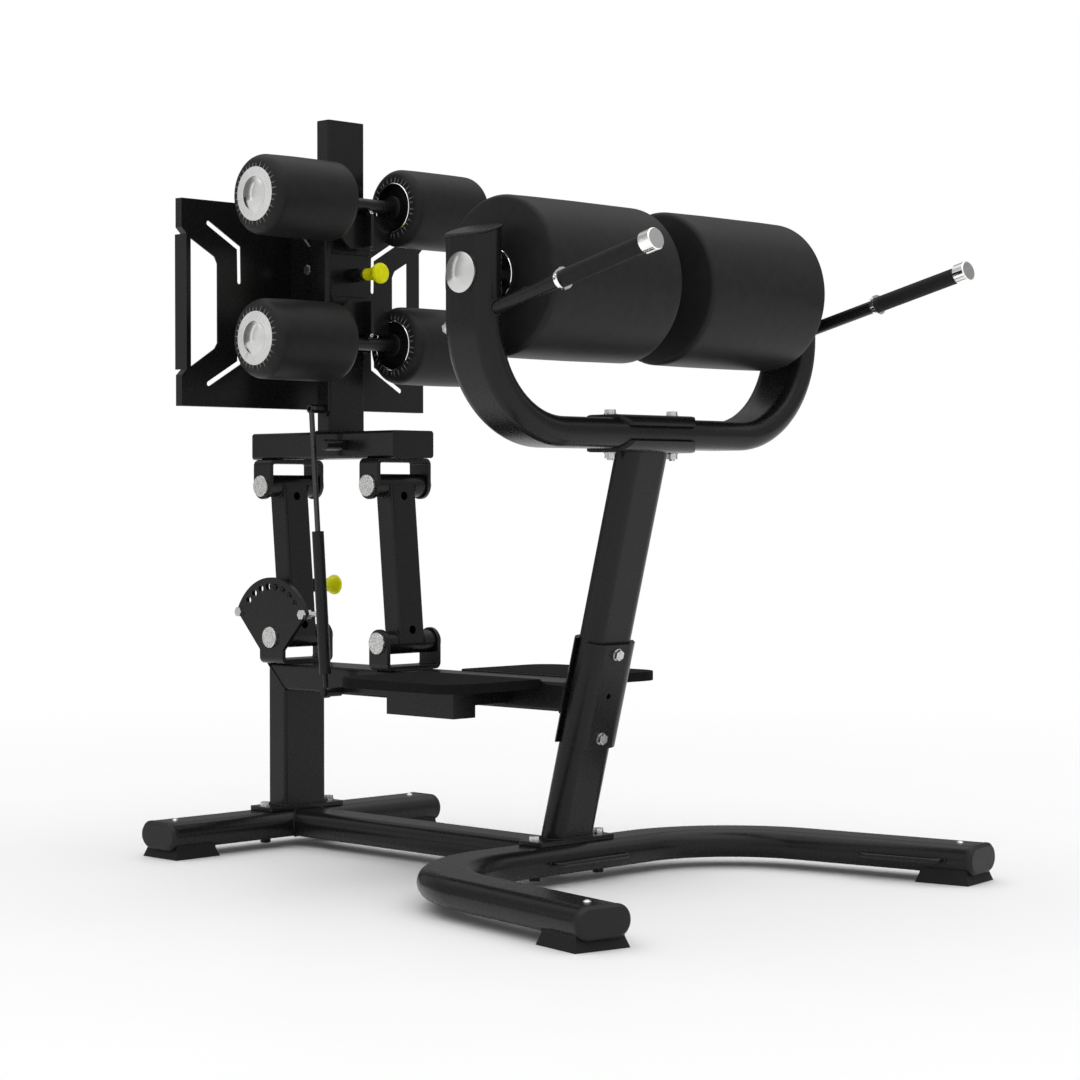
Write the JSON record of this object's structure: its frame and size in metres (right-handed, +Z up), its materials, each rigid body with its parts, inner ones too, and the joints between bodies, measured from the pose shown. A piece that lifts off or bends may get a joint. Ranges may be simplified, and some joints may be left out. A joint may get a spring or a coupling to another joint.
{
  "type": "glute ham developer",
  "caption": "Training bench with two large thigh rollers on a leaning yoke, and a height-adjustable ankle roller carriage that swings on parallel links.",
  "frame": {"origin": "on the floor, at the middle of the footprint's bounding box", "axes": "+X forward, from the ankle carriage to the thigh rollers; +Y to the user's left; +Z up"},
  "size_m": [1.3816, 1.0362, 1.359],
  "materials": {
    "powder_coat": "satin black powder coat",
    "bright_metal": "brushed",
    "zinc": "bright zinc",
    "chrome": "polished",
    "upholstery": "matt black coated fabric over foam",
    "rubber": "matt",
    "black_plastic": "matt",
    "yellow_plastic": "glossy",
    "bronze": "machined"
  },
  "bodies": {
    "base": {"rear_foot_tube": "powder_coat", "centre_tube": "powder_coat", "front_foot_tube": "powder_coat", "foot_tube_caps": "black_plastic", "rubber_feet": "rubber", "band_loops": "powder_coat", "rear_upright": "powder_coat", "fixed_beam": "powder_coat", "base_plates": "powder_coat", "front_post": "powder_coat", "post_clamp_shells": "powder_coat", "saddle_shells": "powder_coat", "yoke": "powder_coat", "yoke_caps": "powder_coat", "thigh_axle": "bright_metal", "handle_bars": "powder_coat", "handle_grips": "rubber", "handle_trim": "chrome", "step_plates": "powder_coat", "step_braces": "powder_coat", "sector_clevis": "powder_coat", "front_lower_clevis": "powder_coat", "stop_bolts": "zinc", "lower_pivot_pins": "zinc", "frame_bolts": "zinc", "frame_nuts": "zinc"},
    "rear_link": {"rear_link": "powder_coat", "rear_link_bushes": "bronze"},
    "link_lock": {"link_pin": "zinc", "link_knob": "yellow_plastic"},
    "front_link": {"front_link": "powder_coat", "front_link_bushes": "bronze"},
    "carriage": {"carriage_beam": "powder_coat", "mast": "powder_coat", "mast_cap": "black_plastic", "upper_clevises": "powder_coat", "upper_pivot_pins": "zinc", "stop_peg": "powder_coat"},
    "slider": {"sleeve": "powder_coat", "sleeve_glides": "black_plastic", "foot_plate": "powder_coat", "sleeve_brackets": "powder_coat", "roller_shafts": "powder_coat", "sleeve_bolts": "zinc"},
    "sleeve_lock": {"sleeve_pin": "zinc", "sleeve_knob": "yellow_plastic"},
    "strut_cylinder": {"strut_cylinder": "powder_coat"},
    "strut_rod": {"strut_rod": "powder_coat"},
    "upper_left_roller": {"upper_left_roller": "upholstery", "upper_left_hub": "bright_metal"},
    "upper_right_roller": {"upper_right_roller": "upholstery", "upper_right_hub": "bright_metal"},
    "lower_left_roller": {"lower_left_roller": "upholstery", "lower_left_hub": "bright_metal"},
    "lower_right_roller": {"lower_right_roller": "upholstery", "lower_right_hub": "bright_metal"},
    "left_thigh_roller": {"left_thigh_pad": "upholstery", "left_thigh_core": "black_plastic"},
    "right_thigh_roller": {"right_thigh_pad": "upholstery", "right_thigh_core": "black_plastic"}
  },
  "joints": [
    {"name": "rear_link_pivot", "type": "hinge", "parent": "base", "child": "rear_link", "pos_m": [-0.58795, 0, 0.394], "axis": [0, 1, 0], "range_deg": [-39, 52]},
    {"name": "link_lock_slide", "type": "slide", "parent": "rear_link", "child": "link_lock", "axis": [0, 1, 0], "range_m": [-0.009, 0]},
    {"name": "carriage_pivot", "type": "hinge", "parent": "rear_link", "child": "carriage", "pos_m": [-0.61395, 0, 0.68], "axis": [0, 1, 0], "range_deg": [-52, 39]},
    {"name": "front_link_pivot", "type": "hinge", "parent": "base", "child": "front_link", "pos_m": [-0.28395, 0, 0.394], "axis": [0, 1, 0], "range_deg": [-39, 52]},
    {"name": "sleeve_slide", "type": "slide", "parent": "carriage", "child": "slider", "axis": [0, 0, 1], "range_m": [-0.03, 0.12]},
    {"name": "sleeve_lock_slide", "type": "slide", "parent": "slider", "child": "sleeve_lock", "axis": [1, 0, 0], "range_m": [-0.009, 0]},
    {"name": "strut_pivot", "type": "hinge", "parent": "base", "child": "strut_cylinder", "pos_m": [-0.40715, -0.084, 0.2995], "axis": [0, 1, 0], "range_deg": [-21.5, 28.7]},
    {"name": "strut_slide", "type": "slide", "parent": "strut_cylinder", "child": "strut_rod", "axis": [-0.0769, 0, 0.997], "range_m": [-0.0301, 0.1201]},
    {"name": "upper_left_spin", "type": "hinge", "parent": "slider", "child": "upper_left_roller", "pos_m": [-0.39195, 0, 1.1995], "axis": [0, 1, 0], "continuous": true},
    {"name": "upper_right_spin", "type": "hinge", "parent": "slider", "child": "upper_right_roller", "pos_m": [-0.39195, 0, 1.1995], "axis": [0, 1, 0], "continuous": true},
    {"name": "lower_left_spin", "type": "hinge", "parent": "slider", "child": "lower_left_roller", "pos_m": [-0.39195, 0, 0.9425], "axis": [0, 1, 0], "continuous": true},
    {"name": "lower_right_spin", "type": "hinge", "parent": "slider", "child": "lower_right_roller", "pos_m": [-0.39195, 0, 0.9425], "axis": [0, 1, 0], "continuous": true},
    {"name": "left_thigh_spin", "type": "hinge", "parent": "base", "child": "left_thigh_roller", "pos_m": [0.30205, 0, 1.0074], "axis": [0, 1, 0], "continuous": true},
    {"name": "right_thigh_spin", "type": "hinge", "parent": "base", "child": "right_thigh_roller", "pos_m": [0.30205, 0, 1.0074], "axis": [0, 1, 0], "continuous": true}
  ],
  "couplings": [
    {"joint": "carriage_pivot", "follows": "rear_link_pivot", "ratio": -1},
    {"joint": "front_link_pivot", "follows": "rear_link_pivot", "ratio": 1},
    {"joint": "strut_pivot", "follows": "rear_link_pivot", "ratio": 0.551},
    {"joint": "strut_slide", "follows": "sleeve_slide", "ratio": 1}
  ]
}
